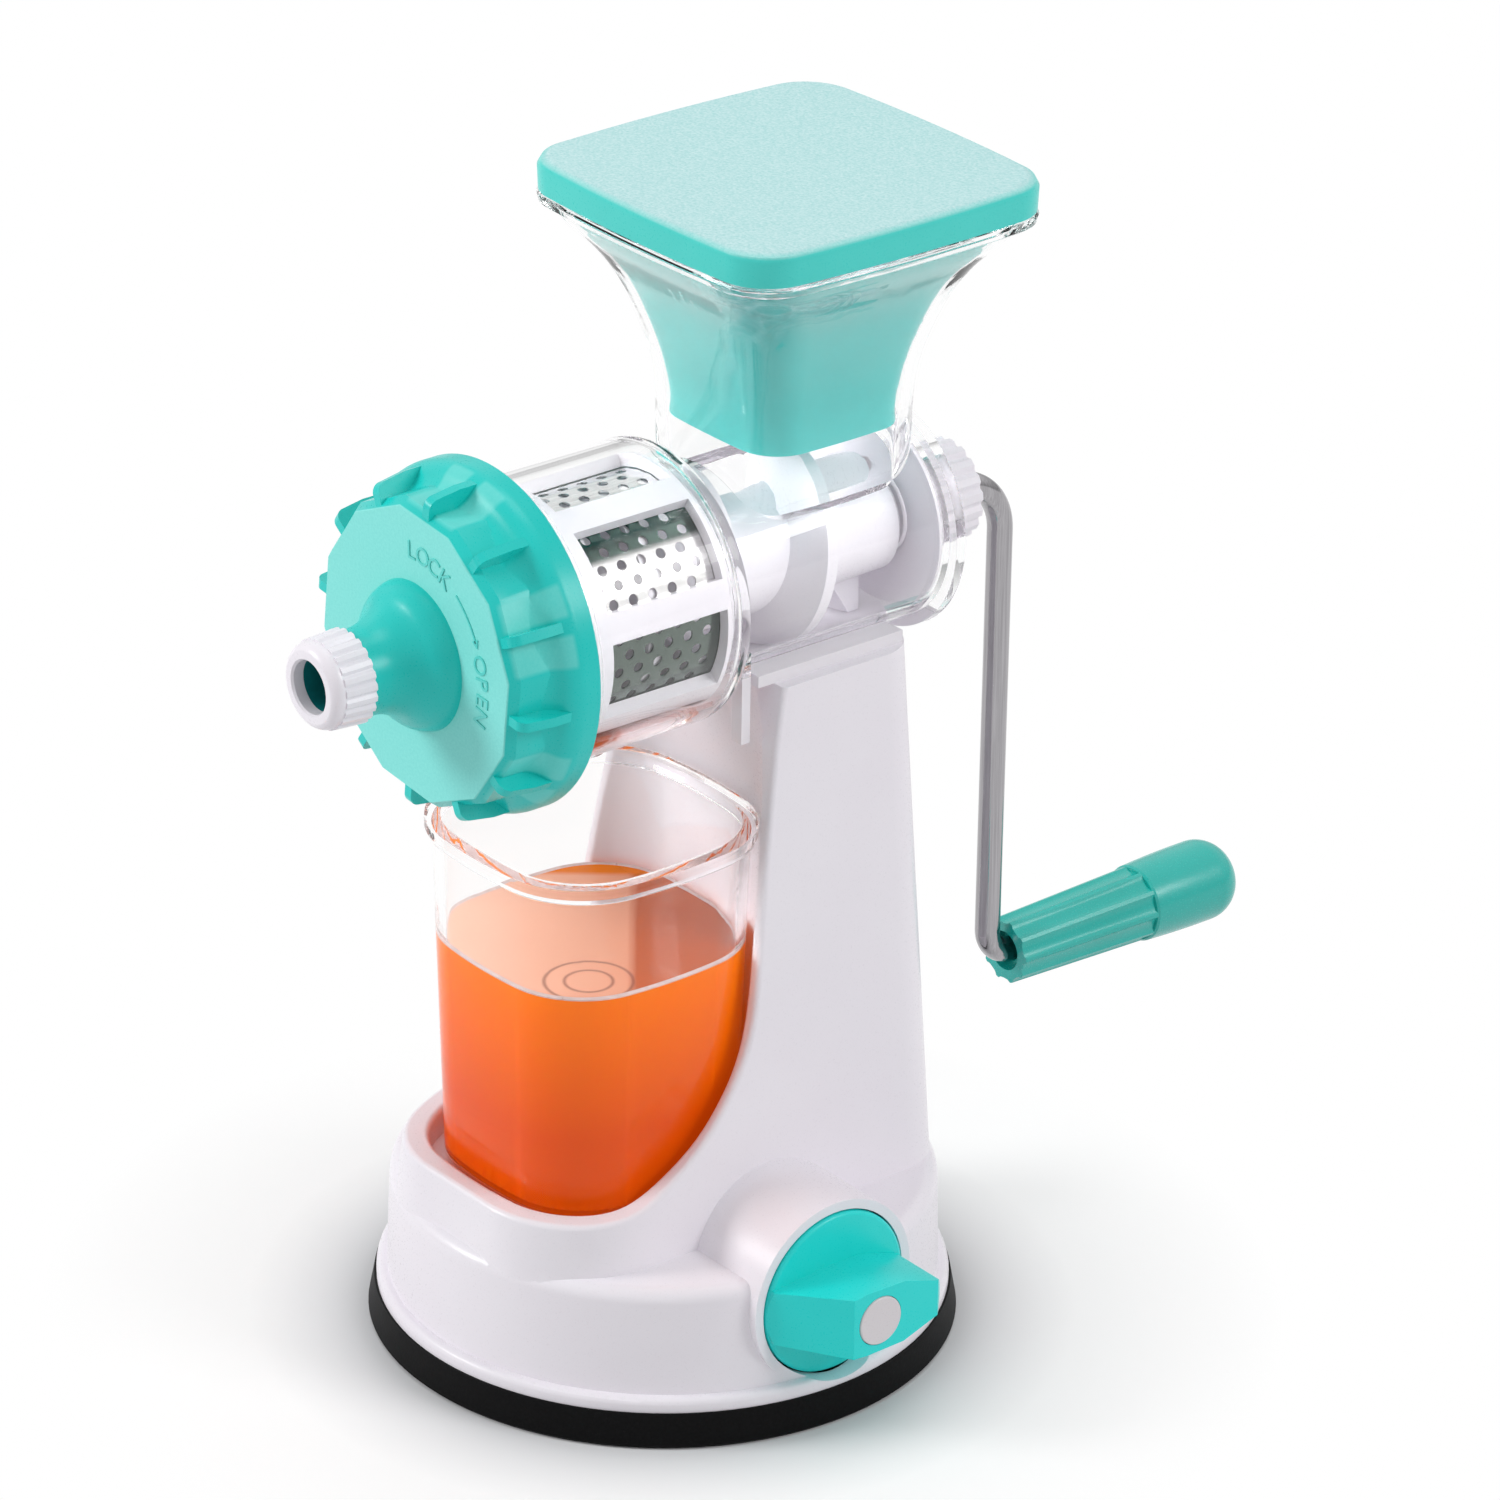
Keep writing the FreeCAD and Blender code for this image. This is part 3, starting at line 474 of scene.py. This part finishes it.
def makeWorld():
    world = bpy.data.worlds.new("studio")
    bpy.context.scene.world = world
    world.use_nodes = True
    shown = seenDirectly(world)
    plain = world.node_tree.nodes["Background"]
    setSockets(plain, {"Color": whiteLight, "Strength": studio["ambient"]})
    # gloss sees white above and a dimmer room near the floor's edge, so metal and clear edges
    # get contrast
    place = addNode(world, "TexCoord")
    height = addNode(world, "SeparateXYZ", {0: place.outputs["Generated"]}).outputs[2]
    room = softStep(world, height, studio["dimUpTo"], studio["whiteFrom"],
                    studio["skyDim"], studio["skyWhite"])
    path = addNode(world, "LightPath")
    strength = addNode(world, "Mix", {0: path.outputs["Is Glossy Ray"], 2: studio["skyWhite"],
                                      3: room})
    bright = addNode(world, "Background", {"Color": whiteLight, "Strength": strength.outputs[0]})
    mixed = addNode(world, "MixShader", {0: shown, 1: plain.outputs[0], 2: bright.outputs[0]})
    showShader(world, "World Output", mixed)


def makeFloor():
    deselectAll()
    bpy.ops.mesh.primitive_plane_add(size=studio["floorSize"], location=(0, 0, 0))
    floor = bpy.context.object
    floor.name = "floor"
    # pale paper: white where it is seen, with the object's soft shadow left in it and a painted
    # shadow in its colour close to the object
    material, shader = newMaterial("white paper floor")
    fibres = pattern(material, studio["fibreMm"], detail=3.0)
    shown = seenDirectly(material)
    away = measure(material, "LENGTH", objectPlace(material))
    pastPaintedShadow = softStep(material, away, studio["shadeFrom"], studio["paintedShadowTo"])
    seen = blend(material, pastPaintedShadow, studio["paintedShadow"], whiteLight)
    plug(material, blend(material, shown, studio["floor"], seen), shader, "Base Color")
    bump = bumpFrom(material, fibres, studio["fibreBump"], studio["fibreDepth"])
    plug(material, bump, shader, "Normal")
    setSockets(shader, {"Roughness": studio["floorRough"],
                        "Specular IOR Level": studio["floorShine"]})
    glow = addNode(material, "Emission", {"Color": whiteLight, "Strength": 1.0})
    lift = softStep(material, away, studio["shadeFrom"], studio["shadeTo"])
    share = calculate(material, "MULTIPLY", shown, lift)
    mixed = addNode(material, "MixShader", {0: share, 1: shader.outputs[0], 2: glow.outputs[0]})
    showShader(material, "Material Output", mixed)
    floor.data.materials.append(material)


def addLamp(lamp):
    data = bpy.data.lights.new(lamp["name"], "AREA")
    data.shape = "DISK"
    data.size = lamp["size"]
    data.energy = lamp["power"]
    thing = bpy.data.objects.new(lamp["name"], data)
    bpy.context.scene.collection.objects.link(thing)
    thing.location = lamp["place"]
    thing.rotation_mode = "QUATERNION"
    aim = Vector(lamp["target"]) - Vector(lamp["place"])
    thing.rotation_quaternion = aim.to_track_quat("-Z", "Y")


makeWorld()
makeFloor()
for lamp in lamps:
    addLamp(lamp)
bpy.context.scene.view_settings.view_transform = "Standard"
for kind, count in bounces.items():
    setattr(bpy.context.scene.cycles, kind, count)
print("studio set")


# Juice in the jar: the jar's own inner wall, closed at the level and grown well into the clear
# wall, because a full jar looks full out to its edges. The jar's faces are told apart by their
# normals: inward for the wall, floorUp for the bottom, topUp for the level.
juice = {"level": 117.3 * mm, "fadeTo": 76 * mm, "grow": (1.050, 1.050, 1.026),
         "axis": (0, -24.6 * mm, 0), "weld": 0.002 * mm, "floorBelow": 60 * mm, "inward": 0.3,
         "floorUp": 0.2, "topUp": 0.9, "topBand": 0.1 * mm, "crease": 7,
         "deep": "#C04603", "upper": "#D86A03", "rough": 0.3, "ior": 1.34, "shine": 0.0,
         "glow": 0.6, "reach": (1.0, 0.4, 0.1), "spread": 6 * mm, "lit": 0.42}
# near, middle and far are painted reflections across the surface: the white room on one side, the
# tower's shade on the other
surface = {"thick": 0.4 * mm, "near": "#F7BA9E", "middle": "#E89C7C", "far": "#C0541A",
           "back": "#E8760C", "across": (0.62, 0.78, 0), "behind": (-0.775, 0.63, 0),
           "reflectionFrom": -46 * mm, "reflectionTo": -10 * mm, "darkFrom": -10 * mm,
           "darkTo": -7.5 * mm, "backFrom": 15 * mm, "backTo": 17.5 * mm,
           "drop": (22.1 * mm, -42.4 * mm, 117.3 * mm), "rings": (6.0 * mm, 11.0 * mm),
           "ringWidth": 0.75 * mm, "ringTone": "#7C2E1A", "ringShare": 0.7, "swellMm": 25,
           "swell": 0.15, "swellDepth": 0.3 * mm, "rough": 0.05, "ior": 1.34, "shine": 0.2,
           "edge": 2.0 * mm, "edgeDark": "#CFB2AF", "edgeLight": "#DBC0BD", "edgeRough": 0.4,
           "speckMm": 3}


def pulpyJuice(name, look):
    # strained carrot and orange juice: dense and cloudy, so light spreads in it; its colour is
    # painted lighter towards the surface, standing in for the light that falls in from above
    material, shader = newMaterial(name)
    # painted light: lighter towards the level, darker deep down
    height = softStep(material, objectAxes(material)["Z"], look["fadeTo"], look["level"])
    body = blend(material, height, look["deep"], look["upper"])
    plug(material, body, shader, "Base Color")
    # a little light of its own stands for what a clear liquid carries down between the walls
    plug(material, body, shader, "Emission Color")
    setSockets(shader, {"Emission Strength": look["lit"], "Roughness": look["rough"],
                        "Subsurface Weight": look["glow"], "Subsurface Radius": look["reach"],
                        "Subsurface Scale": look["spread"], "IOR": look["ior"],
                        "Specular IOR Level": look["shine"]})
    return material


def juiceSurface(name, look):
    # the open surface: glossy, paler along one side and darker along the other, painted reflections
    # of the white room and of the tower's shaded wall, with the two rings left by a falling drop
    material, shader = newMaterial(name)
    place = objectPlace(material)
    across = measure(material, "DOT_PRODUCT", place, look["across"])
    # painted reflection: pale on the near side, dark on the far side
    paintedReflection = softStep(material, across, look["reflectionFrom"], look["reflectionTo"])
    towerReflection = softStep(material, across, look["darkFrom"], look["darkTo"])
    tone = blend(material, paintedReflection, look["near"], look["middle"])
    tone = blend(material, towerReflection, tone, look["far"])
    # the far corner is orange, where the juice itself shows
    behind = measure(material, "DOT_PRODUCT", place, look["behind"])
    corner = softStep(material, behind, look["backFrom"], look["backTo"])
    tone = blend(material, corner, tone, look["back"])
    away = measure(material, "DISTANCE", place, look["drop"])
    rings = 0.0
    for radius in look["rings"]:
        gap = calculate(material, "SUBTRACT", away, radius)
        ring = softStep(material, calculate(material, "ABSOLUTE", gap), look["ringWidth"], 0.0)
        rings = calculate(material, "MAXIMUM", rings, ring)
    share = calculate(material, "MULTIPLY", rings, look["ringShare"])
    tone = blend(material, share, tone, look["ringTone"])
    swell = calculate(material, "ADD", pattern(material, look["swellMm"], detail=1.0), rings)
    plug(material, tone, shader, "Base Color")
    plug(material, bumpFrom(material, swell, look["swell"], look["swellDepth"]), shader, "Normal")
    setSockets(shader, {"Roughness": look["rough"], "IOR": look["ior"],
                        "Specular IOR Level": look["shine"]})
    return material


def juiceEdge(name, look):
    # the surface's edge at the wall: paler and duller than the rest of the surface, and what the
    # clear wall carries up to the jar's rim
    material, shader = newMaterial(name)
    specks = pattern(material, look["speckMm"], detail=3.0)
    tone = toneBetween(material, specks, look["edgeDark"], look["edgeLight"])
    plug(material, tone, shader, "Base Color")
    setSockets(shader, {"Roughness": look["edgeRough"]})
    return material


def pourJuice():
    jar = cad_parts["juice_jar"]
    piece = bpy.data.objects.new("juice_in_jar", jar.data.copy())
    bpy.context.scene.collection.objects.link(piece)
    choose(piece)
    axis = Vector(juice["axis"])
    editAll()
    bpy.ops.mesh.remove_doubles(threshold=juice["weld"])
    bpy.ops.object.mode_set(mode="OBJECT")

    def notInside(face):
        out, normal = face.center - axis, face.normal
        facing = normal.x * out.x + normal.y * out.y
        wall = facing < -juice["inward"] * math.hypot(out.x, out.y)
        bottom = normal.z > juice["floorUp"] and face.center.z < juice["floorBelow"]
        return not (wall or bottom)

    selectFaces(piece, notInside)
    bpy.ops.mesh.delete(type="FACE")
    bpy.ops.mesh.select_all(action="SELECT")
    bpy.ops.mesh.bisect(plane_co=(0, 0, juice["level"]), plane_no=(0, 0, 1), use_fill=True,
                        clear_outer=True)
    bpy.ops.mesh.select_all(action="SELECT")
    bpy.ops.mesh.normals_make_consistent(inside=False)
    bpy.ops.transform.resize(value=juice["grow"],
                             center_override=(axis.x, axis.y, juice["level"]))
    bpy.ops.object.mode_set(mode="OBJECT")
    smoothBelow(juice["crease"])
    return piece


def skimSurface(piece):
    # the surface is a thin piece of its own on top
    lowest = juice["level"] - juice["topBand"]
    selectFaces(piece, lambda face: face.normal.z > juice["topUp"] and face.center.z > lowest)
    bpy.ops.mesh.duplicate()
    bpy.ops.mesh.separate(type="SELECTED")
    bpy.ops.object.mode_set(mode="OBJECT")
    top = [thing for thing in bpy.context.selected_objects if thing is not piece][0]
    top.name = "juice_surface"
    choose(top)
    top.data.materials.clear()
    top.data.materials.append(juiceSurface("juice surface", surface))
    top.data.materials.append(juiceEdge("juice at the wall", surface))
    editAll()
    top.active_material_index = 1
    bpy.ops.object.material_slot_assign()
    bpy.ops.mesh.inset(thickness=surface["edge"])
    # the inset leaves the inner face selected
    top.active_material_index = 0
    bpy.ops.object.material_slot_assign()
    bpy.ops.object.mode_set(mode="OBJECT")
    applyModifier(top, "skin", "SOLIDIFY", thickness=surface["thick"], offset=0)
    return top


def makeJuice():
    piece = pourJuice()
    top = skimSurface(piece)
    piece.data.materials.clear()
    piece.data.materials.append(pulpyJuice("carrot juice", juice))
    for thing in (piece, top):
        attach(thing, "jar")


makeJuice()
print("juice poured")


# Film of juice on the bottom of the press chamber, between the strainer's cage and the clear
# wall. It begins thinDepth below the barrel's axis and is whole at fullDepth.
film = {"outer": 34.7 * mm, "thick": 0.9 * mm, "from": -57 * mm, "to": -6 * mm, "lowest": -76,
        "half": 32, "sides": 180, "crease": 40, "thinDepth": 25.5 * mm, "fullDepth": 31 * mm,
        "aheadFade": 18 * mm, "red": "#B83210", "pale": "#DC5A2C", "patchMm": 14,
        "stretch": (1, 0.4, 1), "patchRange": (0.3, 0.5), "cover": (0.2, 0.95), "rough": 0.12,
        "ior": 1.34}


def thinJuice(name, look):
    # a wet film, deepest in the middle, broken up into patches towards its edges
    material, shader = newMaterial(name)
    patches = pattern(material, look["patchMm"], detail=3.0, rough=0.6, stretch=look["stretch"])
    plug(material, toneBetween(material, patches, look["red"], look["pale"]), shader, "Base Color")
    place = objectAxes(material)
    depth = calculate(material, "SUBTRACT", barrelZ, place["Z"])
    thin = softStep(material, depth, look["thinDepth"], look["fullDepth"])
    ahead = softStep(material, place["Y"], look["to"], look["from"] + look["aheadFade"])
    wet = calculate(material, "MULTIPLY", thin, ahead)
    cover = calculate(material, "MULTIPLY", wet, softStep(material, patches, *look["patchRange"]))
    plug(material, softStep(material, cover, 0.0, 1.0, *look["cover"]), shader, "Alpha")
    setSockets(shader, {"Roughness": look["rough"], "IOR": look["ior"]})
    return material


def makeFilm():
    deselectAll()
    middle = (film["from"] + film["to"]) / 2
    bpy.ops.mesh.primitive_cylinder_add(
        vertices=film["sides"], radius=film["outer"], depth=film["to"] - film["from"],
        end_fill_type="NOTHING", location=(0, middle, barrelZ), rotation=(math.radians(90), 0, 0))
    piece = bpy.context.object
    piece.name = "juice_film"
    bpy.ops.object.transform_apply()

    def dry(face):
        turn = math.degrees(math.atan2(face.center.z - barrelZ, face.center.x))
        return abs(turn - film["lowest"]) > film["half"]

    selectFaces(piece, dry)
    bpy.ops.mesh.delete(type="FACE")
    bpy.ops.object.mode_set(mode="OBJECT")
    applyModifier(piece, "depth", "SOLIDIFY", thickness=film["thick"], offset=-1)
    smoothBelow(film["crease"])
    piece.data.materials.append(thinJuice("film of juice", film))
    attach(piece, "base")


makeFilm()
print("film of juice laid")


# Strainer's sheet with its full pattern of holes: a pair of columns, one of them shifted by half a
# pitch, copied round the axis. grid is the number of squares along a cell's side in the mesh.
sheet = {"radius": 29.6 * mm, "thick": 0.5 * mm, "front": -65.6 * mm, "back": -7.0 * mm,
         "pairs": 21, "pitch": 6.1 * mm, "hole": 1.42 * mm, "holeSides": 16, "cells": 9,
         "phase": 6.3, "grid": 4, "lineWeld": 0.01 * mm, "weld": 0.02 * mm, "crease": 30}


def makeCell(width):
    # one square of the sheet with a round hole, flat at the top of the roll
    deselectAll()
    bpy.ops.mesh.primitive_grid_add(x_subdivisions=sheet["grid"], y_subdivisions=sheet["grid"],
                                    size=1)
    cell = bpy.context.object
    cell.scale = (width, sheet["pitch"], 1)
    bpy.ops.object.transform_apply()
    editAll()
    bpy.ops.mesh.region_to_loop()
    bpy.ops.object.mode_set(mode="OBJECT")
    inner = [v.index for v in cell.data.vertices if not v.select]
    for part in (cell.data.polygons, cell.data.edges, cell.data.vertices):
        for item in part:
            item.select = False
    for i in inner:
        cell.data.vertices[i].select = True
    bpy.ops.object.mode_set(mode="EDIT")
    bpy.ops.mesh.select_mode(type="VERT")
    bpy.ops.mesh.delete(type="VERT")
    bpy.ops.mesh.primitive_circle_add(vertices=sheet["holeSides"], radius=sheet["hole"])
    bpy.ops.mesh.select_all(action="SELECT")
    bpy.ops.mesh.bridge_edge_loops()
    bpy.ops.object.mode_set(mode="OBJECT")
    return cell


def plainStrip(width, front, back):
    deselectAll()
    rows = max(1, round((back - front) / (sheet["pitch"] / sheet["grid"])))
    bpy.ops.mesh.primitive_grid_add(x_subdivisions=sheet["grid"], y_subdivisions=rows, size=1,
                                    location=(0, (front + back) / 2, 0))
    strip = bpy.context.object
    strip.scale = (width, back - front, 1)
    bpy.ops.object.transform_apply()
    return strip


def makeColumn(width, cells, turn):
    middle = (sheet["front"] + sheet["back"]) / 2
    reach = cells * sheet["pitch"] / 2
    column = makeCell(width)
    applyModifier(column, "line", "ARRAY", count=cells, use_relative_offset=False,
                  use_constant_offset=True, constant_offset_displace=(0, sheet["pitch"], 0),
                  use_merge_vertices=True, merge_threshold=sheet["lineWeld"])
    choose(column)
    bpy.ops.transform.translate(value=(0, middle - reach + sheet["pitch"] / 2, 0))
    bpy.ops.object.transform_apply()
    # the plain ends have the same rows of points as the column beside them
    edge = sheet["cells"] * sheet["pitch"] / 2
    ends = [plainStrip(width, sheet["front"], middle - edge),
            plainStrip(width, middle + edge, sheet["back"])]
    if reach < edge:
        ends += [plainStrip(width, middle - edge, middle - reach),
                 plainStrip(width, middle + reach, middle + edge)]
    choose(column, *ends)
    bpy.ops.object.join()
    tangent = sheet["radius"] * math.cos(math.pi / (2 * sheet["pairs"]))
    bpy.ops.transform.translate(value=(0, 0, barrelZ + tangent))
    bpy.ops.object.transform_apply()
    toAxis = Matrix.Translation((0, 0, barrelZ))
    rolled = Matrix.Rotation(math.radians(turn), 4, "Y")
    column.matrix_world = toAxis @ rolled @ toAxis.inverted()
    bpy.ops.object.transform_apply()
    return column


def makeSheet():
    facet = 180 / sheet["pairs"]
    width = 2 * sheet["radius"] * math.sin(math.radians(facet / 2))
    choose(makeColumn(width, sheet["cells"], sheet["phase"]),
           makeColumn(width, sheet["cells"] - 1, sheet["phase"] + facet))
    bpy.ops.object.join()
    piece = bpy.context.object
    piece.name = "strainer_sheet"
    editAll()
    bpy.ops.mesh.spin(steps=sheet["pairs"], dupli=True, angle=math.radians(360),
                      center=(0, 0, barrelZ), axis=(0, 1, 0))
    bpy.ops.mesh.select_all(action="SELECT")
    bpy.ops.mesh.remove_doubles(threshold=sheet["weld"])
    turnOutward()
    applyModifier(piece, "gauge", "SOLIDIFY", thickness=sheet["thick"], offset=-1)
    smoothBelow(sheet["crease"])
    piece.data.materials.append(screenSteel)
    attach(piece, "base")
    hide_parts("strainer_screen")


makeSheet()
print("strainer sheet made")


# White plate on the rear wall inside the feed tube, which closes the view of the hub behind it
plate = {"inner": 12.4 * mm, "outer": 25.2 * mm, "front": 67.5 * mm, "thick": 0.9 * mm,
         "sides": 160, "crease": 35}


def makeRearPlate():
    deselectAll()
    centre = (0, plate["front"], barrelZ)
    bpy.ops.mesh.primitive_circle_add(vertices=plate["sides"], radius=plate["inner"],
                                      location=centre, rotation=(math.radians(90), 0, 0))
    piece = bpy.context.object
    piece.name = "rear_plate"
    bpy.ops.object.transform_apply()
    editAll()
    grow = plate["outer"] / plate["inner"]
    bpy.ops.mesh.extrude_edges_move()
    bpy.ops.transform.resize(value=(grow, 1, grow), center_override=centre)
    bpy.ops.mesh.select_all(action="SELECT")
    bpy.ops.mesh.extrude_region_move(TRANSFORM_OT_translate={"value": (0, plate["thick"], 0)})
    turnOutward()
    smoothBelow(plate["crease"])
    piece.data.materials.append(whiteAbs)
    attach(piece, "base")


makeRearPlate()
print("rear plate made")


# Raised words and arrow on the cap's face, at angles in degrees counted from +X to +Z
capMarks = {"face": -80.0 * mm, "height": 0.3 * mm, "letter": 6.8 * mm, "curve": 6,
            "radius": 27.8 * mm, "pitch": 9.6, "lock": 77.5, "open": 0.2, "arrowR": 28.4 * mm,
            "arrowFrom": 52, "arrowTo": 26, "arrowSteps": 16, "line": 0.45 * mm,
            "head": 1.4 * mm}


def onFace(turn, radius):
    # a place on the cap's face whose own up points away from the axis
    a = math.radians(turn)
    right = Vector((math.sin(a), 0, -math.cos(a)))
    up = Vector((math.cos(a), 0, math.sin(a)))
    out = Vector((0, -1, 0))
    centre = Vector((0, capMarks["face"], barrelZ)) + radius * up
    turnTo = Matrix((right, up, out)).transposed().to_4x4()
    return Matrix.Translation(centre) @ turnTo


def makeLetter(letter, turn):
    deselectAll()
    bpy.ops.object.text_add()
    text = bpy.context.object
    text.data.body = letter
    text.data.size = capMarks["letter"]
    text.data.align_x = "CENTER"
    text.data.align_y = "CENTER"
    text.data.extrude = capMarks["height"]
    text.data.resolution_u = capMarks["curve"]
    bpy.ops.object.convert(target="MESH")
    bpy.context.object.matrix_world = onFace(turn, capMarks["radius"])
    bpy.ops.object.transform_apply()
    return bpy.context.object


def makeArrow():
    # a thin bar spun round the axis, with a three-sided head
    deselectAll()
    bpy.ops.mesh.primitive_plane_add(size=1)
    bar = bpy.context.object
    bar.scale = (capMarks["line"], 2 * capMarks["height"], 1)
    bpy.ops.object.transform_apply()
    onEdge = Matrix(((0, 0, 1, 0), (1, 0, 0, 0), (0, 1, 0, 0), (0, 0, 0, 1)))
    bar.matrix_world = onFace(capMarks["arrowFrom"], capMarks["arrowR"]) @ onEdge
    bpy.ops.object.transform_apply()
    editAll()
    sweep = math.radians(capMarks["arrowTo"] - capMarks["arrowFrom"])
    bpy.ops.mesh.spin(steps=capMarks["arrowSteps"], angle=sweep,
                      center=(0, capMarks["face"], barrelZ), axis=(0, 1, 0))
    turnOutward()
    deselectAll()
    bpy.ops.mesh.primitive_cylinder_add(vertices=3, radius=capMarks["head"],
                                        depth=2 * capMarks["height"])
    head = bpy.context.object
    ahead = Matrix.Rotation(math.radians(-90), 4, "Z")
    head.matrix_world = onFace(capMarks["arrowTo"], capMarks["arrowR"]) @ ahead
    bpy.ops.object.transform_apply()
    return [bar, head]


def makeCapMarks():
    parts = []
    for word, middle in (("LOCK", capMarks["lock"]), ("OPEN", capMarks["open"])):
        halfWord = (len(word) - 1) / 2
        for i, letter in enumerate(word):
            parts.append(makeLetter(letter, middle + (halfWord - i) * capMarks["pitch"]))
    parts += makeArrow()
    choose(*parts)
    bpy.ops.object.join()
    marks = bpy.context.object
    marks.name = "cap_marks"
    marks.data.materials.clear()
    marks.data.materials.append(markAbs)
    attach(marks, "front_cap")


makeCapMarks()
print("cap marked")
